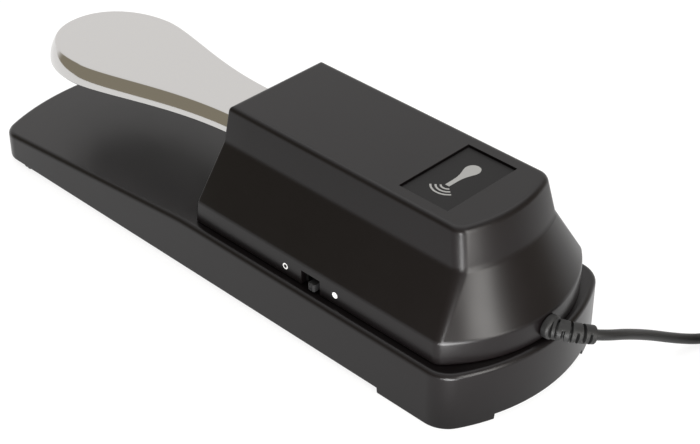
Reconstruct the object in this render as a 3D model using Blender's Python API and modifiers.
"""Sustain pedal: a chrome spoon-shaped paddle that pivots in a black moulded housing on a long base.

Frame: +Z up, +Y towards the rear, where the cable leaves, and -Y towards the player. The origin is the centre
of the base's footprint, on the floor. Metres.
"""

import math

import bmesh
import bpy
from mathutils import Vector

# ---------------------------------------------------------------- driving sizes
GAP = 0.0003  # left between pieces that touch

BASE_LENGTH = 0.2766
BASE_WIDTH = 0.088
BASE_TOP = 0.0244  # height of the level rear part of the top
BASE_UNDERSIDE = 0.0022  # the rim stands this far above the floor
BASE_SLOPE = 0.088  # fall of the front part of the top, per length
BASE_SLOPE_START = -0.0115
BASE_WALL = 0.0025
BASE_EDGE = 0.002
BASE_FRONT_BULGE, BASE_FRONT_CORNER = 0.095, 0.011
BASE_REAR_BULGE, BASE_REAR_CORNER = 0.076, 0.012

HOUSING_TOP = BASE_TOP + 0.0471
HOUSING_WALL = 0.0025
HOUSING_EDGE = 0.002
HOUSING_FRONT_EDGE = 0.001
# Each section: height, half width, front face, apex of the rear bulge, bulge radius, corner radius.
HOUSING_LIP_LOW = (BASE_TOP + GAP, 0.0400, -0.0065, 0.1356, 0.056, 0.005)
HOUSING_LIP_HIGH = (BASE_TOP + 0.0098, 0.0400, -0.0050, 0.1356, 0.056, 0.005)
HOUSING_BEND = (BASE_TOP + 0.0321, 0.0266, -0.0032, 0.1229, 0.056, 0.006)
HOUSING_CROWN = (HOUSING_TOP, 0.0246, -0.0018, 0.1186, 0.058, 0.006)

PADDLE_TIP = -0.1312
PADDLE_WIDEST = -0.0948
PADDLE_NECK = -0.0120  # behind this the lever has straight sides
PADDLE_HALF_WIDTH = 0.0270
NECK_HALF_WIDTH = 0.0122
PADDLE_SKIRT = 0.0085  # depth of the skirt along the neck
PADDLE_TIP_SKIRT = 0.0095
PADDLE_METAL = 0.002
PADDLE_EDGE = 0.0014
PADDLE_FLANK = 0.78  # power that sets how soon the flanks draw in
PADDLE_SLOPE = 0.05  # the paddle falls this much per length towards its tip, at rest
LEVER_TAIL = 0.0700

PIVOT_Y, PIVOT_Z = 0.0620, BASE_TOP + 0.0271
PIVOT_TO_LEVER_TOP = 0.0081
PIN_RADIUS = 0.0025
RUNNING_GAP = 0.0002
BUSH_RADIUS = 0.0036
BUSH_FLANGE_RADIUS = 0.0050
BUSH_FLANGE = 0.0012
CHEEK_DEPTH = 0.0132
CHEEK_HALF_LENGTH = 0.0062
EAR_INSIDE, EAR_THICKNESS = 0.0146, 0.0023
EAR_HALF_LENGTH = 0.0070
EAR_TOP = BASE_TOP + 0.0328
FULL_PRESS = math.radians(6.5)

SPRING_Y = 0.0240
SPRING_RADIUS, SPRING_WIRE, SPRING_TURNS = 0.0064, 0.0008, 6.5
SEAT_HEIGHT = 0.0018
CUP_THICKNESS = 0.0014

SWITCH_FRONT, SWITCH_REAR = 0.0330, 0.0540
SWITCH_LOW, SWITCH_HIGH = BASE_TOP + 0.0086, BASE_TOP + 0.0186
SWITCH_HALF_WIDTH = 0.0032
LEAF_PIVOT_Y, LEAF_PIVOT_Z = 0.0530, SWITCH_HIGH + 0.0017
LEAF_LENGTH, LEAF_HALF_WIDTH, LEAF_THICKNESS = 0.0180, 0.0020, 0.0004
LEAF_ANGLE = math.radians(12)
LEAF_TOUCH_Y = 0.0380  # where the paddle's actuator meets the leaf
BUTTON_Y = 0.0470
BUTTON_RADIUS, BUTTON_TOP = 0.0011, SWITCH_HIGH + 0.0020

WINDOW_FRONT, WINDOW_REAR, WINDOW_TOP = 0.0522, 0.0618, BASE_TOP + 0.0066
KNOB_Y = 0.0581
KNOB_HALF_WIDTH = 0.0016
KNOB_LOW, KNOB_HIGH = BASE_TOP + 0.0007, BASE_TOP + 0.0038
KNOB_PROUD = 0.0010
KNOB_TRAVEL = 0.0030
BOARD_FRONT, BOARD_REAR, BOARD_HIGH = 0.0440, 0.0730, BASE_TOP + 0.0156
BOARD_FACE, BOARD_THICKNESS = 0.0300, 0.0016

LABEL_FRONT, LABEL_REAR, LABEL_HALF_WIDTH = 0.0802, 0.1032, 0.0186
LABEL_DEPTH, LABEL_PLATE = 0.0017, 0.0006

FOOT_INSET, FOOT_Y = 0.0105, -0.1144
FOOT_RADIUS = 0.0095
REAR_FOOT_FRONT, REAR_FOOT_INSIDE = 0.0946, 0.0250
PLATE_THICKNESS = 0.0015

SCREW_SHANK, SCREW_HEAD, SCREW_HEAD_HEIGHT = 0.0014, 0.0028, 0.0018
SCREW_CLEARANCE = 0.0004
BOSS_RADIUS = 0.0040
FRONT_BOSS_TOP = BASE_TOP + 0.0171

CABLE_RADIUS = 0.0020
RELIEF_Z = BASE_TOP + 0.0049
RELIEF_NECK = 0.0037
RELIEF_FLANGE_RADIUS, RELIEF_FLANGE = 0.0046, 0.0024
RELIEF_ROOT_RADIUS, RELIEF_END_RADIUS = 0.0040, 0.0033

COIL_CENTRE = (-0.0631, 0.2017)
COIL_MEAN_RADIUS, COIL_HALF_WIDTH, COIL_HEIGHT = 0.0230, 0.0062, 0.0157
TIE_THICKNESS, TIE_WIDTH = 0.0006, 0.0060
COIL_LOW = TIE_THICKNESS + 0.0003

PLUG_GRIP_RADIUS, PLUG_GRIP_LENGTH = 0.0062, 0.0360
PLUG_SHAFT_RADIUS = 0.0031750

# Route of the cable's free stretch, from the strain relief down to the floor and to the coil.
RELIEF_ROUTE = (
    (0.0, 0.1382, 0.0293),
    (-0.0022, 0.1426, 0.0290),
    (-0.0057, 0.1463, 0.0281),
    (-0.0096, 0.1490, 0.02685),
)
CABLE_ROUTE = (
    (-0.0103, 0.1494, 0.0266),
    (-0.0155, 0.1513, 0.0246),
    (-0.0229, 0.1526, 0.0214),
    (-0.0303, 0.1535, 0.0176),
    (-0.0384, 0.1548, 0.0132),
    (-0.0470, 0.1568, 0.0084),
    (-0.0548, 0.1592, 0.0046),
    (-0.0610, 0.1620, 0.0027),
    (-0.0685, 0.1663, 0.0023),
    (-0.0755, 0.1710, 0.0024),
    (-0.0824, 0.1767, 0.0030),
)
TAIL_ROUTE = (
    (-0.0537, 0.2322, 0.0126),
    (-0.0440, 0.2348, 0.0098),
    (-0.0344, 0.2374, 0.0074),
    (-0.0257, 0.2397, 0.0064),
)
PLUG_HEADING = math.radians(15)

# ---------------------------------------------------------------- scene and materials


def clear_scene():
    for obj in list(bpy.data.objects):
        bpy.data.objects.remove(obj, do_unlink=True)
    for group in list(bpy.data.collections):
        bpy.data.collections.remove(group)


def new_collection(name):
    group = bpy.data.collections.new(name)
    bpy.context.scene.collection.children.link(group)
    return group


clear_scene()
PARTS = new_collection("sustain_pedal")
CUTTERS = new_collection("cutters")
CUTTERS.hide_render = True


def material(name, colour, roughness, metallic=0.0):
    found = bpy.data.materials.get(name)
    if found:
        return found
    made = bpy.data.materials.new(name)
    made.use_nodes = True
    shader = made.node_tree.nodes["Principled BSDF"]
    shader.inputs["Base Color"].default_value = (*colour, 1)
    shader.inputs["Roughness"].default_value = roughness
    shader.inputs["Metallic"].default_value = metallic
    made.diffuse_color = (*colour, 1)
    return made


FINISHES = {
    "black_abs": ((0.035, 0.033, 0.032), 0.42, 0.0),
    "black_nylon": ((0.03, 0.03, 0.03), 0.5, 0.0),
    "white_nylon": ((0.75, 0.74, 0.70), 0.45, 0.0),
    "chrome": ((0.80, 0.79, 0.77), 0.08, 1.0),
    "zinc_steel": ((0.62, 0.63, 0.64), 0.3, 1.0),
    "spring_steel": ((0.45, 0.45, 0.46), 0.25, 1.0),
    "black_rubber": ((0.02, 0.02, 0.02), 0.7, 0.0),
    "grey_felt": ((0.22, 0.22, 0.23), 0.95, 0.0),
    "circuit_board": ((0.05, 0.22, 0.10), 0.4, 0.0),
    "label": ((0.02, 0.02, 0.02), 0.3, 0.0),
    "red_wire": ((0.6, 0.03, 0.03), 0.4, 0.0),
    "cable_jacket": ((0.02, 0.02, 0.02), 0.45, 0.0),
    "nickel": ((0.75, 0.73, 0.68), 0.15, 1.0),
}

# ---------------------------------------------------------------- modelling tools


def put(name, mesh, finish=None, parent=None, location=(0, 0, 0), rotation=(0, 0, 0)):
    """Adds an object: a part when it has a finish, and a hidden cutter when it has none."""
    obj = bpy.data.objects.new(name, mesh)
    obj.location, obj.rotation_euler, obj.parent = location, rotation, parent
    if finish is None:
        CUTTERS.objects.link(obj)
        obj.hide_render = True
        obj.display_type = "WIRE"
    else:
        PARTS.objects.link(obj)
        obj.data.materials.append(material(finish, *FINISHES[finish]))
    return obj


def mesh_of(name, bm):
    bm.normal_update()
    bmesh.ops.recalc_face_normals(bm, faces=bm.faces[:])
    mesh = bpy.data.meshes.new(name)
    bm.to_mesh(mesh)
    bm.free()
    return mesh


def box(name, low, high, finish=None, **place):
    bm = bmesh.new()
    bmesh.ops.create_cube(bm, size=1.0)
    low, high = Vector(low), Vector(high)
    for vert in bm.verts:
        vert.co = Vector(a + (b - a) * (t + 0.5) for a, b, t in zip(low, high, vert.co))
    return put(name, mesh_of(name, bm), finish, **place)


def rod(name, start, end, radius, finish=None, sides=24, **place):
    """A cylinder from one point to another."""
    start, end = Vector(start), Vector(end)
    along = end - start
    bm = bmesh.new()
    size = {"radius1": radius, "radius2": radius, "depth": along.length}
    bmesh.ops.create_cone(bm, cap_ends=True, segments=sides, **size)
    turn = along.to_track_quat("Z", "Y").to_matrix().to_4x4()
    turn.translation = (start + end) / 2
    bmesh.ops.transform(bm, matrix=turn, verts=bm.verts[:])
    return put(name, mesh_of(name, bm), finish, **place)


def turned(name, profile, finish=None, steps=24, **place):
    """A solid of revolution about its own Z axis; its (radius, height) points run top to bottom."""
    bm = bmesh.new()
    row = [bm.verts.new((radius, 0, height)) for radius, height in profile]
    for one, two in zip(row, row[1:]):
        bm.edges.new((one, two))
    mesh = bpy.data.meshes.new(name)
    bm.to_mesh(mesh)
    bm.free()
    obj = put(name, mesh, finish, **place)
    screw = obj.modifiers.new("Turn", "SCREW")
    screw.steps = screw.render_steps = steps
    screw.use_merge_vertices = True
    screw.merge_threshold = 0.00001
    return obj


def loft(name, rings, finish=None, soft_edges=(), **place):
    """A closed solid through rings of equal counts. soft_edges picks the edges that a Bevel rounds."""
    bm = bmesh.new()
    rows = [[bm.verts.new(point) for point in ring] for ring in rings]
    count = len(rows[0])
    for low, high in zip(rows, rows[1:]):
        for i in range(count):
            j = (i + 1) % count
            bm.faces.new((low[i], low[j], high[j], high[i]))
    bm.faces.new(list(reversed(rows[0])))
    bm.faces.new(rows[-1])
    if soft_edges:
        weight = bm.edges.layers.float.new("bevel_weight_edge")
        for edge in bm.edges:
            edge[weight] = max((amount for test, amount in soft_edges if test(edge)), default=0.0)
    return put(name, mesh_of(name, bm), finish, **place)


def round_edges(obj, width, segments=2):
    """Rounds the edges that carry a bevel weight."""
    bevel = obj.modifiers.new("Edges", "BEVEL")
    bevel.limit_method = "WEIGHT"
    bevel.width, bevel.segments = width, segments


def boolean(obj, other, operation="DIFFERENCE"):
    step = obj.modifiers.new(operation.title(), "BOOLEAN")
    step.operation, step.object = operation, other
    return obj


def tube(name, points, radius, finish, resolution=2, radii=None, **place):
    """A cable or wire: a poly curve with filled caps. radii gives each point its own share of the radius."""
    curve = bpy.data.curves.new(name, "CURVE")
    curve.dimensions = "3D"
    curve.bevel_depth, curve.bevel_resolution, curve.use_fill_caps = radius, resolution, True
    line = curve.splines.new("POLY")
    line.points.add(len(points) - 1)
    for i, (spot, place_) in enumerate(zip(line.points, points)):
        spot.co = (*place_, 1)
        spot.radius = radii[i] if radii else 1.0
    return put(name, curve, finish, **place)


def smooth(points, step):
    """Points about one step apart on a smooth curve through the given ones."""
    points = [Vector(point) for point in points]
    ends = [points[0] * 2 - points[1], *points, points[-1] * 2 - points[-2]]
    made = []
    for a, b, c, d in zip(ends, ends[1:], ends[2:], ends[3:]):
        pieces = max(1, round((c - b).length / step))
        for i in range(pieces):
            t = i / pieces
            bend = (2 * a - 5 * b + 4 * c - d) * t * t + (3 * b - a - 3 * c + d) * t**3
            made.append((b * 2 + (c - a) * t + bend) / 2)
    return [tuple(point) for point in made] + [tuple(points[-1])]


def mesh_from_curve(obj, finish=None):
    """The curve's solid as a mesh with welded caps, which a Boolean can take."""
    bpy.context.view_layer.update()
    graph = bpy.context.evaluated_depsgraph_get()
    mesh = bpy.data.meshes.new_from_object(obj.evaluated_get(graph))
    bm = bmesh.new()
    bm.from_mesh(mesh)
    bmesh.ops.remove_doubles(bm, verts=bm.verts[:], dist=0.000001)
    bm.to_mesh(mesh)
    bm.free()
    mesh.materials.clear()
    name, place = obj.name, obj.matrix_world.copy()
    bpy.data.objects.remove(obj, do_unlink=True)
    made = put(name, mesh, finish)
    made.matrix_world = place
    return made


def screw(name, x, y, under_head, length, upward=True, finish="zinc_steel"):
    """A pan-head screw driven up from under_head, or down from it."""
    head, shank = SCREW_HEAD, SCREW_SHANK
    profile = [(0, length), (shank * 0.6, length), (shank, length - shank), (shank, 0), (head, 0)]
    profile += [(head, -SCREW_HEAD_HEIGHT * 0.55), (head * 0.6, -SCREW_HEAD_HEIGHT), (0, -SCREW_HEAD_HEIGHT)]
    turn = (0, 0, 0) if upward else (math.pi, 0, 0)
    return turned(name, profile, finish, steps=16, location=(x, y, under_head), rotation=turn)


# ---------------------------------------------------------------- outlines


def rounded_end(half_width, apex, bulge, corner, steps=12, corner_steps=5):
    """A bulging end that faces +Y, from its +X side to its -X side: corner arc, large arc, corner arc."""
    centre = apex - bulge
    corner_x = half_width - corner
    corner_y = centre + math.sqrt((bulge - corner) ** 2 - corner_x**2)
    meet = math.atan2(corner_y - centre, corner_x)
    near = [meet * i / corner_steps for i in range(corner_steps)]
    points = [(corner_x + corner * math.cos(a), corner_y + corner * math.sin(a)) for a in near]
    across = [meet + (math.pi - 2 * meet) * i / steps for i in range(steps + 1)]
    points += [(bulge * math.cos(a), centre + bulge * math.sin(a)) for a in across]
    return points + [(-x, y) for x, y in points[corner_steps - 1 :: -1]]


def base_outline(inset=0.0):
    """The base's plan, as its rear points and its front points, each with the two where the slope starts."""
    half, end = BASE_WIDTH / 2 - inset, BASE_LENGTH / 2 - inset
    rear = rounded_end(half, end, BASE_REAR_BULGE - inset, BASE_REAR_CORNER - inset)
    front = rounded_end(half, end, BASE_FRONT_BULGE - inset, BASE_FRONT_CORNER - inset)
    front = [(-x, -y) for x, y in front]
    return rear + [(-half, BASE_SLOPE_START)], front + [(half, BASE_SLOPE_START)]


def base_top_at(y):
    return BASE_TOP - BASE_SLOPE * max(0.0, BASE_SLOPE_START - y)


def base_solid(name, inset, low, drop, finish=None, soft_edges=()):
    """The base's plan taken up from low to drop below its top, which has a level part and a sloping part."""
    rear, front = base_outline(inset)
    outline = rear + front
    bm = bmesh.new()
    under = [bm.verts.new((x, y, low)) for x, y in outline]
    over = [bm.verts.new((x, y, base_top_at(y) - drop)) for x, y in outline]
    count = len(outline)
    for i in range(count):
        j = (i + 1) % count
        bm.faces.new((under[i], under[j], over[j], over[i]))
    bm.faces.new(list(reversed(under)))
    bm.faces.new([over[-1]] + over[: len(rear)])
    bm.faces.new(over[len(rear) - 1 :])
    weight = bm.edges.layers.float.new("bevel_weight_edge")
    for edge in bm.edges:
        edge[weight] = 1.0 if soft_edges and len(edge.link_faces) == 2 and rim_edge(edge, over) else 0.0
    return put(name, mesh_of(name, bm), finish)


def rim_edge(edge, over):
    """True for an edge round the top, and false for the one across it where the slope starts."""
    if edge.verts[0] not in over or edge.verts[1] not in over:
        return False
    return edge.calc_length() < BASE_WIDTH / 2


def housing_section(section, inset=0.0, height=None):
    z, half, front, apex, bulge, corner = section
    half, front, apex, bulge = half - inset, front + inset, apex - inset, bulge - inset
    outline = rounded_end(half, apex, bulge, max(corner - inset, 0.0015)) + [(-half, front), (half, front)]
    return [(x, y, z if height is None else height) for x, y in outline]


def paddle_half_width(y):
    """Half an ellipse at the tip, and a flowing curve from the widest place to the neck."""
    if y < PADDLE_WIDEST:
        share = (PADDLE_WIDEST - y) / (PADDLE_WIDEST - PADDLE_TIP)
        return PADDLE_HALF_WIDTH * math.sqrt(max(0.0, 1 - share**2))
    share = min(1.0, (y - PADDLE_WIDEST) / (PADDLE_NECK - PADDLE_WIDEST))
    blend = (1 + math.cos(math.pi * share**PADDLE_FLANK)) / 2
    return NECK_HALF_WIDTH + (PADDLE_HALF_WIDTH - NECK_HALF_WIDTH) * blend


def paddle_outline(inset, tail):
    """The paddle's plan from the tail's +X corner round the tip to its -X corner, moved in by inset."""
    steps, tip_steps = 9, 9
    side = [(NECK_HALF_WIDTH, LEVER_TAIL)]
    for i in range(steps):
        y = PADDLE_NECK + (PADDLE_WIDEST - PADDLE_NECK) * i / steps
        side.append((paddle_half_width(y), y))
    for i in range(tip_steps):
        y = PADDLE_WIDEST - (PADDLE_WIDEST - PADDLE_TIP) * math.sin(math.pi / 2 * i / tip_steps)
        side.append((paddle_half_width(y), y))
    points = side + [(0.0, PADDLE_TIP)] + [(-x, y) for x, y in reversed(side)]
    moved = []
    for i, (x, y) in enumerate(points):
        before, after = points[max(i - 1, 0)], points[min(i + 1, len(points) - 1)]
        along = Vector((after[0] - before[0], after[1] - before[1])).normalized()
        moved.append((x + along.y * inset, y - along.x * inset))
    moved[0] = (moved[0][0], tail)
    moved[-1] = (moved[-1][0], tail)
    return moved


# ---------------------------------------------------------------- base


BASE_BOSSES = {
    "bottom": [(x, y) for y in (-0.060, 0.085) for x in (-0.033, 0.033)],
    "bracket": [(x, PIVOT_Y) for x in (-0.009, 0.009)],
}
HOUSING_BOSSES = [(x, y) for x, y in ((-0.030, 0.008), (0.030, 0.008), (-0.017, 0.104), (0.017, 0.104))]
BOTTOM_SCREW_LENGTH, HOUSING_SCREW_LENGTH, BRACKET_SCREW_LENGTH = 0.0090, 0.0110, 0.0090
PLATE_LOW = BASE_UNDERSIDE + 0.0006
PLATE_HIGH = PLATE_LOW + PLATE_THICKNESS
FEET = [("left", -(BASE_WIDTH / 2 - FOOT_INSET)), ("right", BASE_WIDTH / 2 - FOOT_INSET)]


def make_base():
    base = base_solid("base_shell", 0.0, BASE_UNDERSIDE, 0.0, "black_abs", soft_edges=True)
    round_edges(base, BASE_EDGE, 3)
    boolean(base, base_solid("base_hollow", BASE_WALL, BASE_UNDERSIDE - 0.001, BASE_WALL))
    low = PLATE_HIGH + GAP
    for kind, places in BASE_BOSSES.items():
        for i, (x, y) in enumerate(places):
            top = base_top_at(y)
            start = low if kind == "bottom" else top - BASE_WALL - BRACKET_SCREW_LENGTH
            boss = rod(f"base_{kind}_boss_{i}", (x, y, start), (x, y, top - 0.001), BOSS_RADIUS, sides=20)
            boolean(base, boss, "UNION")
    foot_top = base_top_at(FOOT_Y)
    for side, x in FEET:
        post_ends = ((x, FOOT_Y, low), (x, FOOT_Y, foot_top - 0.001))
        post = rod(f"foot_post_{side}", *post_ends, BOSS_RADIUS, sides=20)
        boolean(base, post, "UNION")
    for rib, y in (("front", BOARD_FRONT), ("rear", BOARD_REAR)):
        grip = 0.0024
        middle = BOARD_FACE - BOARD_THICKNESS / 2
        low_point = (middle - grip, y - 0.0022, BASE_TOP - 0.001)
        high_point = (middle + grip, y + 0.0022, BOARD_HIGH - 0.004)
        boolean(base, box(f"board_holder_{rib}", low_point, high_point), "UNION")
    for side in (-1, 1):
        boolean(base, corner_foot(side), "UNION")
    slot = GAP + BOARD_THICKNESS / 2
    middle = BOARD_FACE - BOARD_THICKNESS / 2
    span = (BOARD_FRONT - GAP, BOARD_REAR + GAP)
    slot_low, slot_high = (middle - slot, span[0], BASE_TOP), (middle + slot, span[1], BOARD_HIGH)
    boolean(base, box("board_slot", slot_low, slot_high))
    hole = SCREW_SHANK + SCREW_CLEARANCE
    bottom_reach = low + BOTTOM_SCREW_LENGTH - PLATE_THICKNESS + GAP
    for i, (x, y) in enumerate(BASE_BOSSES["bottom"]):
        boolean(base, rod(f"bottom_bore_{i}", (x, y, 0), (x, y, bottom_reach), hole))
    for i, (x, y) in enumerate(BASE_BOSSES["bracket"]):
        low_end = BASE_TOP - BRACKET_SCREW_LENGTH
        boolean(base, rod(f"bracket_bore_{i}", (x, y, low_end), (x, y, BASE_TOP + 0.001), hole))
    for i, (x, y) in enumerate(HOUSING_BOSSES):
        ends = ((x, y, BASE_TOP - 2 * BASE_WALL), (x, y, BASE_TOP + 0.001))
        boolean(base, rod(f"housing_hole_{i}", *ends, hole))
    for side, x in FEET:
        boolean(base, rod(f"foot_bore_{side}", (x, FOOT_Y, 0), (x, FOOT_Y, foot_top - BASE_WALL), hole))
    return base


def corner_foot(side):
    """The moulded foot that follows one rear corner, flush with the wall."""
    rear, _ = base_outline()
    arc = [(x, y) for x, y in rear if x > REAR_FOOT_INSIDE and y > REAR_FOOT_FRONT]
    half = BASE_WIDTH / 2
    end_y = rear_edge_at(REAR_FOOT_INSIDE)
    outline = [(half, REAR_FOOT_FRONT), *arc, (REAR_FOOT_INSIDE, end_y)]
    outline += [(REAR_FOOT_INSIDE, REAR_FOOT_FRONT)]
    ring = [(side * x, y) for x, y in outline]
    heights = (0.0, BASE_UNDERSIDE + 0.0003)
    return loft(f"corner_foot_{side}", [[(x, y, z) for x, y in ring] for z in heights])


def rear_edge_at(x):
    centre = BASE_LENGTH / 2 - BASE_REAR_BULGE
    return centre + math.sqrt(BASE_REAR_BULGE**2 - x**2)


def make_bottom_plate():
    inset = BASE_WALL + GAP
    rear, front = base_outline(inset)
    outline = rear + front
    rings = [[(x, y, z) for x, y in outline] for z in (PLATE_LOW, PLATE_HIGH)]
    plate = loft("bottom_plate", rings, "zinc_steel")
    hole = SCREW_SHANK + SCREW_CLEARANCE
    for i, (x, y) in enumerate(BASE_BOSSES["bottom"]):
        boolean(plate, rod(f"plate_hole_{i}", (x, y, 0), (x, y, PLATE_HIGH + 0.001), hole))
        screw(f"bottom_screw_{i + 1}", x, y, PLATE_LOW - GAP, BOTTOM_SCREW_LENGTH)
    for side, x in FEET:
        ends = ((x, FOOT_Y, 0), (x, FOOT_Y, PLATE_HIGH + 0.001))
        boolean(plate, rod(f"plate_foot_hole_{side}", *ends, hole))


def make_feet():
    """A round rubber foot under each front corner, held by a screw in its recess."""
    top = PLATE_LOW - GAP
    recess, hole = SCREW_HEAD + 0.0009, SCREW_SHANK + SCREW_CLEARANCE
    ledge, stub = 0.0009, FOOT_RADIUS - 0.0030
    rim = BASE_UNDERSIDE - GAP - top
    for side, x in FEET:
        profile = [(hole, 0), (stub, 0), (stub, rim), (FOOT_RADIUS - 0.0004, rim)]
        profile += [(FOOT_RADIUS, rim - 0.0004), (FOOT_RADIUS - 0.0006, -top), (recess, -top)]
        profile += [(recess, -ledge), (hole, -ledge), (hole, 0)]
        turned(f"front_foot_{side}", profile, "black_rubber", steps=28, location=(x, FOOT_Y, top))
        # The head sits inside the foot's recess, clear of the floor.
        name = f"foot_screw_{side}"
        head, shank, length = SCREW_HEAD, SCREW_SHANK, 0.0085
        points = [(0, length), (shank, length - shank), (shank, 0), (head, 0), (head, -0.0007), (0, -0.0010)]
        turned(name, points, "zinc_steel", steps=16, location=(x, FOOT_Y, top - ledge - GAP))


# ---------------------------------------------------------------- housing


def soft_housing_edge(edge):
    one, two = edge.verts[0].co, edge.verts[1].co
    return min(one.z, two.z) > HOUSING_TOP - 0.0001


def front_corner_edge(edge):
    one, two = edge.verts[0].co, edge.verts[1].co
    return max(one.y, two.y) < 0 and abs(one.z - two.z) > 0.001


def make_housing():
    sections = (HOUSING_LIP_LOW, HOUSING_LIP_HIGH, HOUSING_BEND, HOUSING_CROWN)
    soft = ((soft_housing_edge, 1.0), (front_corner_edge, HOUSING_FRONT_EDGE / HOUSING_EDGE))
    shell = loft("housing_shell", [housing_section(section) for section in sections], "black_abs", soft)
    round_edges(shell, HOUSING_EDGE, 3)
    heights = (BASE_TOP - 0.001, None, None, HOUSING_TOP - HOUSING_WALL)
    inner = [housing_section(s, HOUSING_WALL, height) for s, height in zip(sections, heights)]
    boolean(shell, loft("housing_hollow", inner))
    for i, (x, y) in enumerate(HOUSING_BOSSES):
        top = FRONT_BOSS_TOP if y < PIVOT_Y else HOUSING_TOP - HOUSING_WALL + 0.001
        boss = rod(f"housing_boss_{i}", (x, y, BASE_TOP + GAP), (x, y, top), BOSS_RADIUS, sides=20)
        boolean(shell, boss, "UNION")
    rib = box("stop_rib", (-0.011, 0.004, STOP_RIB_LOW), (0.011, 0.009, HOUSING_TOP - HOUSING_WALL + 0.001))
    boolean(shell, rib, "UNION")
    hole = SCREW_SHANK + SCREW_CLEARANCE
    for i, (x, y) in enumerate(HOUSING_BOSSES):
        reach = BASE_TOP - BASE_WALL + HOUSING_SCREW_LENGTH + GAP
        boolean(shell, rod(f"housing_bore_{i}", (x, y, BASE_TOP - 0.001), (x, y, reach), hole))
    mouth_low, mouth_high = (-MOUTH_HALF_WIDTH, -0.02, MOUTH_LOW), (MOUTH_HALF_WIDTH, 0.0025, MOUTH_HIGH)
    boolean(shell, box("paddle_mouth", mouth_low, mouth_high))
    low_window = (HOUSING_LIP_LOW[1] - 0.004, WINDOW_FRONT, BASE_TOP - 0.001)
    boolean(shell, box("switch_window", low_window, (HOUSING_LIP_LOW[1] + 0.001, WINDOW_REAR, WINDOW_TOP)))
    recess_low = (-LABEL_HALF_WIDTH, LABEL_FRONT, HOUSING_TOP - LABEL_DEPTH)
    boolean(shell, box("label_recess", recess_low, (LABEL_HALF_WIDTH, LABEL_REAR, HOUSING_TOP + 0.001)))
    wall = HOUSING_LIP_LOW[3]
    ends = ((0, wall - 0.006, RELIEF_Z), (0, wall + 0.002, RELIEF_Z))
    boolean(shell, rod("relief_hole", *ends, RELIEF_NECK + GAP))
    for i, (x, y) in enumerate(HOUSING_BOSSES):
        screw(f"housing_screw_{i + 1}", x, y, BASE_TOP - BASE_WALL - GAP, HOUSING_SCREW_LENGTH)


def make_label():
    inset, low = GAP, HOUSING_TOP - LABEL_DEPTH + GAP
    low_point = (-LABEL_HALF_WIDTH + inset, LABEL_FRONT + inset, low)
    box("label_plate", low_point, (LABEL_HALF_WIDTH - inset, LABEL_REAR - inset, low + LABEL_PLATE), "label")


# ---------------------------------------------------------------- pedal lever and its pivot

LEVER_TOP_AT_MOUTH = PIVOT_Z + PIVOT_TO_LEVER_TOP - PADDLE_SLOPE * PIVOT_Y
MOUTH_HALF_WIDTH = NECK_HALF_WIDTH + 0.0044
MOUTH_HIGH = LEVER_TOP_AT_MOUTH + 0.0017
MOUTH_LOW = LEVER_TOP_AT_MOUTH - PADDLE_SKIRT - PIVOT_Y * math.tan(FULL_PRESS) - 0.0035
PAD_THICKNESS = 0.0018
STOP_RIB_LOW = LEVER_TOP_AT_MOUTH + PADDLE_SLOPE * 0.009 + 2 * GAP + PAD_THICKNESS


def pivot_frame():
    """An empty on the hinge's axis, tilted so that the lever's own top is level in it."""
    frame = bpy.data.objects.new("pedal_pivot", None)
    PARTS.objects.link(frame)
    frame.location = (0, PIVOT_Y, PIVOT_Z)
    frame.rotation_euler = (math.atan(PADDLE_SLOPE), 0, 0)
    return frame


def make_paddle(frame):
    """The spoon and lever in one piece: a plate with a skirt, open below and behind."""
    top = PIVOT_TO_LEVER_TOP

    def low_at(y):
        share = min(1.0, max(0.0, (PADDLE_NECK - y) / (PADDLE_NECK - PADDLE_TIP)))
        return top - PADDLE_SKIRT - (PADDLE_TIP_SKIRT - PADDLE_SKIRT) * share

    outer = paddle_outline(0.0, LEVER_TAIL)
    rings = [[(x, y - PIVOT_Y, low_at(y)) for x, y in outer], [(x, y - PIVOT_Y, top) for x, y in outer]]
    soft = ((lambda edge: min(v.co.z for v in edge.verts) > top - 0.0001, 1.0),)
    paddle = loft("paddle", rings, "chrome", soft, parent=frame)
    round_edges(paddle, PADDLE_EDGE, 3)
    inner = paddle_outline(PADDLE_METAL, LEVER_TAIL + 0.002)
    heights = (top - 0.02, top - PADDLE_METAL)
    hollow = loft("paddle_hollow", [[(x, y - PIVOT_Y, z) for x, y in inner] for z in heights], parent=frame)
    boolean(paddle, hollow)
    for side in (-1, 1):
        outside, inside = NECK_HALF_WIDTH - 0.0002, NECK_HALF_WIDTH - PADDLE_METAL - 0.0001
        xs = sorted((side * outside, side * inside))
        low = (xs[0], -CHEEK_HALF_LENGTH, top - CHEEK_DEPTH)
        high = (xs[1], CHEEK_HALF_LENGTH, top - 0.001)
        boolean(paddle, box(f"pivot_cheek_{side}", low, high, parent=frame), "UNION")
    bore = BUSH_RADIUS + 0.0001
    boolean(paddle, rod("bush_bore", (-0.02, 0, 0), (0.02, 0, 0), bore, sides=28, parent=frame))
    outer_face = NECK_HALF_WIDTH + GAP
    for name, side in (("left", -1), ("right", 1)):
        hole = PIN_RADIUS + RUNNING_GAP
        ends = (NECK_HALF_WIDTH - PADDLE_METAL - 0.0006, outer_face, outer_face + BUSH_FLANGE)
        profile = [(hole, ends[2]), (BUSH_FLANGE_RADIUS, ends[2]), (BUSH_FLANGE_RADIUS, ends[1])]
        profile += [(BUSH_RADIUS, ends[1]), (BUSH_RADIUS, ends[0]), (hole, ends[0]), (hole, ends[2])]
        turn = (0, side * math.pi / 2, 0)
        turned(f"pivot_bush_{name}", profile, "white_nylon", steps=28, rotation=turn, parent=frame)
    return paddle


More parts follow.
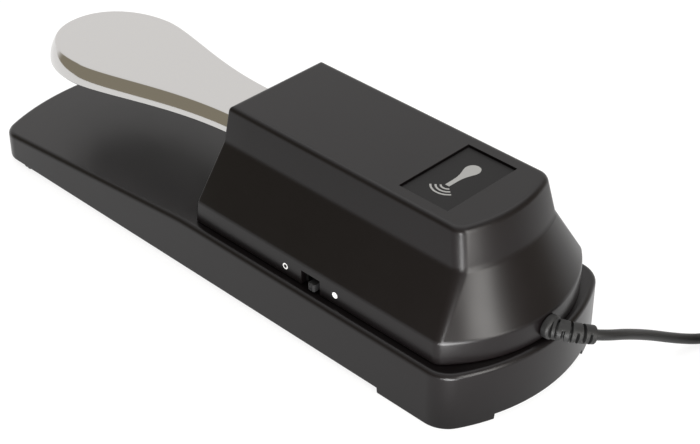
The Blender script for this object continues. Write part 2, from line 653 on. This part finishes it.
def make_bracket():
    floor_low = BASE_TOP + GAP
    floor_high = floor_low + EAR_THICKNESS
    outside = EAR_INSIDE + EAR_THICKNESS
    front, rear = PIVOT_Y - EAR_HALF_LENGTH, PIVOT_Y + EAR_HALF_LENGTH
    bracket = box("pivot_bracket", (-outside, front, floor_low), (outside, rear, floor_high), "zinc_steel")
    for side in (-1, 1):
        xs = sorted((side * EAR_INSIDE, side * outside))
        ear_low = (xs[0], front, floor_low + 0.0005)
        boolean(bracket, box(f"ear_{side}", ear_low, (xs[1], rear, EAR_TOP)), "UNION")
    ends = ((-0.03, PIVOT_Y, PIVOT_Z), (0.03, PIVOT_Y, PIVOT_Z))
    boolean(bracket, rod("pin_hole", *ends, PIN_RADIUS + 0.0001, sides=28))
    hole = SCREW_SHANK + SCREW_CLEARANCE
    for i, (x, y) in enumerate(BASE_BOSSES["bracket"]):
        boolean(bracket, rod(f"bracket_hole_{i}", (x, y, BASE_TOP - 0.001), (x, y, floor_high + 0.001), hole))
        screw(f"bracket_screw_{i + 1}", x, y, floor_high + GAP, BRACKET_SCREW_LENGTH, upward=False)
    tip = outside + 0.0024
    groove, clip = outside + GAP, 0.0008
    radius, waist = PIN_RADIUS, PIN_RADIUS - 0.0005
    half = [(0, tip), (radius - 0.0004, tip), (radius, tip - 0.0004), (radius, groove + clip + GAP)]
    half += [(waist, groove + clip + GAP), (waist, groove - 0.0001), (radius, groove - 0.0001)]
    profile = half + [(r, -z) for r, z in reversed(half)]
    place = {"location": (0, PIVOT_Y, PIVOT_Z), "rotation": (0, math.pi / 2, 0)}
    turned("pivot_pin", profile, "zinc_steel", steps=28, **place)
    for name, side in (("left", -1), ("right", 1)):
        z = side * (groove + clip / 2 + 0.0001)
        ring = [(waist + 0.0001, z + clip / 2), (0.0042, z + clip / 2), (0.0042, z - clip / 2)]
        ring += [(waist + 0.0001, z - clip / 2), (waist + 0.0001, z + clip / 2)]
        ring_node = turned(f"pin_clip_{name}", ring, "spring_steel", steps=28, **place)
        low, high = (-0.001, PIVOT_Y - 0.0012, PIVOT_Z - 0.006), (0.001, PIVOT_Y + 0.0012, PIVOT_Z)
        mouth = box(f"clip_mouth_{name}", low, high)
        mouth.location.x = z
        boolean(ring_node, mouth)


def make_stops():
    """A felt pad above the lever at rest, and a felt-topped block under it at the end of its travel."""
    lever = LEVER_TOP_AT_MOUTH + PADDLE_SLOPE * 0.009
    low = (-0.0105, 0.0044, lever + GAP)
    box("up_stop_pad", low, (0.0105, 0.0086, low[2] + PAD_THICKNESS), "grey_felt")
    y, half_length, half_width = 0.0115, 0.0025, 0.0130
    fall = (PIVOT_Y - y + half_length) * math.tan(FULL_PRESS)
    under = LEVER_TOP_AT_MOUTH + PADDLE_SLOPE * y - PADDLE_SKIRT - fall
    pad_top = under - 0.0007
    front, rear = y - half_length, y + half_length
    low = (-half_width, front, pad_top - PAD_THICKNESS)
    box("down_stop_pad", low, (half_width, rear, pad_top), "grey_felt")
    block_top = pad_top - PAD_THICKNESS - GAP
    low = (-half_width, front, BASE_TOP + GAP)
    block = box("down_stop_block", low, (half_width, rear, block_top), "black_nylon")
    arch_low, arch_high = (-0.007, -0.02, BASE_TOP - 0.001), (0.007, 0.04, block_top - 0.006)
    boolean(block, box("stop_block_arch", arch_low, arch_high))


def make_spring(frame):
    seat_low = BASE_TOP + GAP
    seat_high = seat_low + SEAT_HEIGHT
    boss, rim = SPRING_RADIUS - SPRING_WIRE - 0.0006, SPRING_RADIUS + SPRING_WIRE + 0.0008
    profile = [(0, seat_high + 0.003), (boss - 0.0005, seat_high + 0.003), (boss, seat_high + 0.0022)]
    profile += [(boss, seat_high), (rim, seat_high), (rim, seat_low), (0, seat_low)]
    turned("spring_seat", profile, "black_nylon", location=(0, SPRING_Y, 0))
    under_plate = PIVOT_TO_LEVER_TOP - PADDLE_METAL - GAP
    cup_low = under_plate - CUP_THICKNESS
    cup_rim = min(rim, NECK_HALF_WIDTH - PADDLE_METAL - GAP)
    profile = [(0, under_plate), (cup_rim, under_plate), (cup_rim, cup_low), (boss, cup_low)]
    profile += [(boss, cup_low - 0.0022), (boss - 0.0005, cup_low - 0.003), (0, cup_low - 0.003)]
    turned("spring_cup", profile, "black_nylon", parent=frame, location=(0, SPRING_Y - PIVOT_Y, 0))
    tilt = math.atan(PADDLE_SLOPE)
    cup_z = PIVOT_Z + (SPRING_Y - PIVOT_Y) * math.sin(tilt) + cup_low * math.cos(tilt)
    low = seat_high + SPRING_WIRE + GAP
    high = cup_z - SPRING_WIRE - GAP - PADDLE_SLOPE * SPRING_RADIUS
    per_turn = 14
    count = round(SPRING_TURNS * per_turn)
    points = []
    for i in range(count + 1):
        share = i / count
        # The end turns lie almost flat, as on a ground spring.
        rise = (share - math.sin(2 * math.pi * share) / (2 * math.pi) * 0.75) * (high - low)
        angle = 2 * math.pi * i / per_turn
        x, y = SPRING_RADIUS * math.cos(angle), SPRING_RADIUS * math.sin(angle)
        points.append((x, SPRING_Y + y, low + rise))
    tube("return_spring", points, SPRING_WIRE, "spring_steel")


# ---------------------------------------------------------------- switches and wiring


def make_microswitch(frame):
    half = SWITCH_HALF_WIDTH
    low, high = (-half, SWITCH_FRONT, SWITCH_LOW), (half, SWITCH_REAR, SWITCH_HIGH)
    body = box("microswitch_body", low, high, "black_nylon")
    guide = BUTTON_RADIUS + 0.0003
    ends = ((0, BUTTON_Y, SWITCH_HIGH - 0.003), (0, BUTTON_Y, SWITCH_HIGH + 0.001))
    boolean(body, rod("button_guide", *ends, guide))
    ends = ((0, BUTTON_Y, SWITCH_HIGH - 0.0018), (0, BUTTON_Y, BUTTON_TOP))
    rod("microswitch_button", *ends, BUTTON_RADIUS, "white_nylon", sides=16)
    length, width, thick = LEAF_LENGTH, LEAF_HALF_WIDTH, LEAF_THICKNESS
    place = {"location": (0, LEAF_PIVOT_Y, LEAF_PIVOT_Z), "rotation": (-LEAF_ANGLE, 0, 0)}
    leaf = box("microswitch_leaf", (-width, -length, -thick / 2), (width, 0, thick / 2), "nickel", **place)
    knuckle = rod("leaf_knuckle", (-width, 0, 0), (width, 0, 0), 0.0009, sides=12, **place)
    boolean(leaf, knuckle, "UNION")
    reach = PIVOT_Y - LEAF_TOUCH_Y
    leaf_rise = (LEAF_PIVOT_Y - LEAF_TOUCH_Y) * math.tan(LEAF_ANGLE)
    leaf_top = LEAF_PIVOT_Z + leaf_rise + thick
    low = leaf_top + 0.0006 - PIVOT_Z + PADDLE_SLOPE * reach
    under_plate = PIVOT_TO_LEVER_TOP - PADDLE_METAL - GAP
    low_point = (-0.003, -reach - 0.0008, low)
    box("switch_actuator", low_point, (0.003, -reach + 0.0008, under_plate), "white_nylon", parent=frame)
    mount_x = -half - GAP
    stand = 0.0020
    floor = BASE_TOP + GAP
    low, high = (mount_x - stand, SWITCH_FRONT, floor), (mount_x, SWITCH_REAR, SWITCH_HIGH)
    mount = box("switch_mount", low, high, "zinc_steel")
    low, high = (mount_x - 0.0005, SWITCH_FRONT, floor), (half, SWITCH_REAR, floor + stand)
    boolean(mount, box("mount_foot", low, high), "UNION")
    for i, y in enumerate((SWITCH_FRONT + 0.0035, SWITCH_REAR - 0.0035)):
        z, hole = SWITCH_LOW + 0.0032, 0.0012
        bore = rod(f"switch_bore_{i}", (-0.02, y, z), (0.02, y, z), hole, sides=16)
        boolean(body, bore)
        boolean(mount, bore)
        head = half + GAP
        profile = [(0, 0.0014), (0.0012, 0.0014), (0.0020, 0.0007), (0.0020, 0), (0.0009, 0)]
        profile += [(0.0009, -0.0095), (0, -0.0098)]
        turn = (0, math.pi / 2, 0)
        place = {"location": (head, y, z), "rotation": turn}
        turned(f"microswitch_screw_{i + 1}", profile, "zinc_steel", steps=14, **place)


def make_polarity_switch():
    back, front = BOARD_FACE + GAP, HOUSING_LIP_LOW[1] - HOUSING_WALL - GAP
    margin = KNOB_TRAVEL + 0.0016
    y_low, y_high = KNOB_Y - KNOB_HALF_WIDTH - margin, KNOB_Y + KNOB_HALF_WIDTH + margin - KNOB_TRAVEL
    low, high = BASE_TOP + GAP, KNOB_HIGH + 0.0012
    body = box("polarity_switch_body", (back, y_low, low), (front, y_high, high), "black_nylon")
    slide = 0.0003
    slot_low = (back + 0.0028, KNOB_Y - KNOB_HALF_WIDTH - KNOB_TRAVEL - slide, KNOB_LOW - slide)
    slot_high = (front + 0.001, KNOB_Y + KNOB_HALF_WIDTH + slide, KNOB_HIGH + slide)
    boolean(body, box("knob_slot", slot_low, slot_high))
    knob_low = (back + 0.0032, KNOB_Y - KNOB_HALF_WIDTH, KNOB_LOW)
    knob_high = (HOUSING_LIP_LOW[1] + KNOB_PROUD, KNOB_Y + KNOB_HALF_WIDTH, KNOB_HIGH)
    box("polarity_knob", knob_low, knob_high, "black_nylon")
    board_low = (BOARD_FACE - BOARD_THICKNESS, BOARD_FRONT, BASE_TOP + GAP)
    box("circuit_board", board_low, (BOARD_FACE, BOARD_REAR, BOARD_HIGH), "circuit_board")


def make_wiring():
    board_x = BOARD_FACE - BOARD_THICKNESS - GAP - 0.0006
    low = SWITCH_LOW - 0.0010
    red = [(0, 0.0380, low), (0.0030, 0.0386, 0.0305), (0.0095, 0.0415, 0.0290), (0.0190, 0.0465, 0.0292)]
    red += [(board_x - 0.0015, 0.0495, 0.0335), (board_x, 0.0503, 0.0362)]
    black = [(0, 0.0450, low), (0.0030, 0.0454, 0.0295), (0.0095, 0.0476, 0.0272), (0.0180, 0.0505, 0.0272)]
    black += [(board_x - 0.0028, 0.0545, 0.0312), (board_x, 0.0565, 0.0340)]
    tube("switch_wire_red", smooth(red, 0.0022), 0.0006, "red_wire")
    tube("switch_wire_black", smooth(black, 0.0022), 0.0006, "cable_jacket")
    wall = HOUSING_LIP_LOW[3] - HOUSING_WALL - 0.0024
    route = [(0.0, wall, RELIEF_Z), (0.0, 0.1240, 0.0284), (0.0015, 0.1130, 0.0270), (0.0060, 0.1020, 0.0268)]
    route += [(0.0120, 0.0900, 0.0270), (0.0175, 0.0790, 0.0290), (0.0205, 0.0710, 0.0325)]
    route += [(0.0240, 0.0668, 0.0350), (board_x - 0.0001, 0.0662, 0.0360)]
    tube("inner_cable", smooth(route, 0.005), CABLE_RADIUS, "cable_jacket")
    clamp_y, half_width, half_length = 0.1130, 0.0085, 0.0035
    low, high, aside = BASE_TOP + GAP, BASE_TOP + 0.0066, 0.0035
    near = (aside - half_width, clamp_y - half_length, low)
    far = (aside + half_width, clamp_y + half_length, high)
    clamp = box("cable_clamp", near, far, "white_nylon")
    boolean(clamp, box("clamp_tunnel", (-0.0014, 0.1, BASE_TOP - 0.001), (0.0053, 0.12, high - 0.0013)))
    screw_x = 0.0088
    hole = SCREW_SHANK + SCREW_CLEARANCE
    ends = ((screw_x, clamp_y, BASE_TOP - 0.001), (screw_x, clamp_y, high + 0.001))
    boolean(clamp, rod("clamp_bore", *ends, hole))
    screw("clamp_screw", screw_x, clamp_y, high + GAP, high - BASE_TOP - 0.0002, upward=False)


# ---------------------------------------------------------------- cable, coil and plug


def make_strain_relief():
    """A flanged bush in the rear wall with a tapered tail that bends with the cable."""
    wall = HOUSING_LIP_LOW[3]
    outer, inner = wall + GAP, wall - HOUSING_WALL - 2 * GAP
    profile = [(0, outer + RELIEF_FLANGE + 0.0006), (RELIEF_ROOT_RADIUS, outer + RELIEF_FLANGE + 0.0006)]
    profile += [(RELIEF_FLANGE_RADIUS, outer + RELIEF_FLANGE), (RELIEF_FLANGE_RADIUS, outer)]
    collar = RELIEF_FLANGE_RADIUS - 0.0002
    profile += [(RELIEF_NECK, outer), (RELIEF_NECK, inner), (collar, inner)]
    profile += [(collar, inner - 0.0012), (0, inner - 0.0012)]
    place = {"location": (0, 0, RELIEF_Z), "rotation": (-math.pi / 2, 0, 0)}
    bush = turned("strain_relief", profile, "black_rubber", **place)
    route = smooth(RELIEF_ROUTE, 0.003)
    loss = (1 - RELIEF_END_RADIUS / RELIEF_ROOT_RADIUS) / (len(route) - 1)
    taper = [1 - loss * i for i in range(len(route))]
    tail = tube("relief_tail", route, RELIEF_ROOT_RADIUS, "black_rubber", resolution=4, radii=taper)
    boolean(bush, mesh_from_curve(tail), "UNION")


def make_cable():
    tube("cable", smooth(CABLE_ROUTE, 0.009), CABLE_RADIUS, "cable_jacket")
    centre, middle, half = COIL_CENTRE, COIL_MEAN_RADIUS, COIL_HALF_WIDTH
    low, high, corner = COIL_LOW, COIL_LOW + COIL_HEIGHT, 0.0018
    ring = [(middle - half + corner, high), (middle + half - corner, high), (middle + half, high - corner)]
    ring += [(middle + half, low + corner), (middle + half - corner, low), (middle - half + corner, low)]
    ring += [(middle - half, low + corner), (middle - half, high - corner), (middle - half + corner, high)]
    turned("cable_coil", ring, "cable_jacket", steps=40, location=(*centre, 0))
    tube("cable_tail", TAIL_ROUTE, CABLE_RADIUS, "cable_jacket")


def make_tie():
    """A hook-and-loop strap round the coil's bundle."""
    gap, thick = 0.0003, TIE_THICKNESS
    half, low, high = COIL_HALF_WIDTH + gap, COIL_LOW - gap, COIL_LOW + COIL_HEIGHT + gap
    angle = math.radians(20)
    x = COIL_CENTRE[0] + COIL_MEAN_RADIUS * math.cos(angle)
    y = COIL_CENTRE[1] + COIL_MEAN_RADIUS * math.sin(angle)
    width = TIE_WIDTH / 2
    place = {"location": (x, y, 0), "rotation": (0, 0, angle)}
    bow = width**2 / (2 * (COIL_MEAN_RADIUS - COIL_HALF_WIDTH)) + 0.0002
    near, far = (-half - thick - bow, -width, low - thick), (half + thick, width, high + thick)
    tie = box("cable_tie", near, far, "grey_felt", **place)
    boolean(tie, box("tie_hollow", (-half - bow, -1.2 * width, low), (half, 1.2 * width, high), **place))


def make_plug():
    """A straight 6.35 mm two-contact plug that lies on the floor beside the coil."""
    start = Vector(TAIL_ROUTE[-1])
    turn = (0, math.pi / 2, PLUG_HEADING)
    grip, length, shaft = PLUG_GRIP_RADIUS, PLUG_GRIP_LENGTH, PLUG_SHAFT_RADIUS
    place = {"location": (start.x, start.y, start.z), "rotation": turn}
    profile = [(0, length), (grip - 0.0006, length), (grip, length - 0.0006), (grip, 0.0100)]
    profile += [(grip * 0.78, 0.0070), (grip * 0.56, 2 * GAP), (0, 2 * GAP)]
    turned("plug_grip", profile, "black_rubber", steps=24, **place)
    collar = length + GAP
    shank = collar + 0.0022
    barrel = shank + 0.0175
    profile = [(0, barrel), (shaft, barrel), (shaft, shank), (0.0048, shank), (0.0048, collar), (0, collar)]
    turned("plug_sleeve", profile, "nickel", steps=24, **place)
    ring = barrel + GAP
    ring_end = ring + 0.0012
    profile = [(0, ring_end), (shaft - 0.0001, ring_end), (shaft - 0.0001, ring), (0, ring)]
    turned("plug_insulator", profile, "black_nylon", steps=24, **place)
    root = ring_end + GAP
    profile = [(0, root + 0.0095), (0.0011, root + 0.0090), (shaft, root + 0.0055)]
    profile += [(shaft * 0.72, root + 0.0028), (shaft, root + 0.0012), (shaft, root), (0, root)]
    turned("plug_tip", profile, "nickel", steps=24, **place)


def shade(obj):
    if obj.type == "MESH" and obj.data.polygons:
        obj.data.shade_smooth()
        obj.data.set_sharp_from_angle(angle=math.radians(35))


def main():
    make_base()
    make_bottom_plate()
    make_feet()
    make_housing()
    make_label()
    frame = pivot_frame()
    make_paddle(frame)
    make_bracket()
    make_stops()
    make_spring(frame)
    make_microswitch(frame)
    make_polarity_switch()
    make_wiring()
    make_strain_relief()
    make_cable()
    make_tie()
    make_plug()
    for obj in PARTS.objects:
        shade(obj)


main()
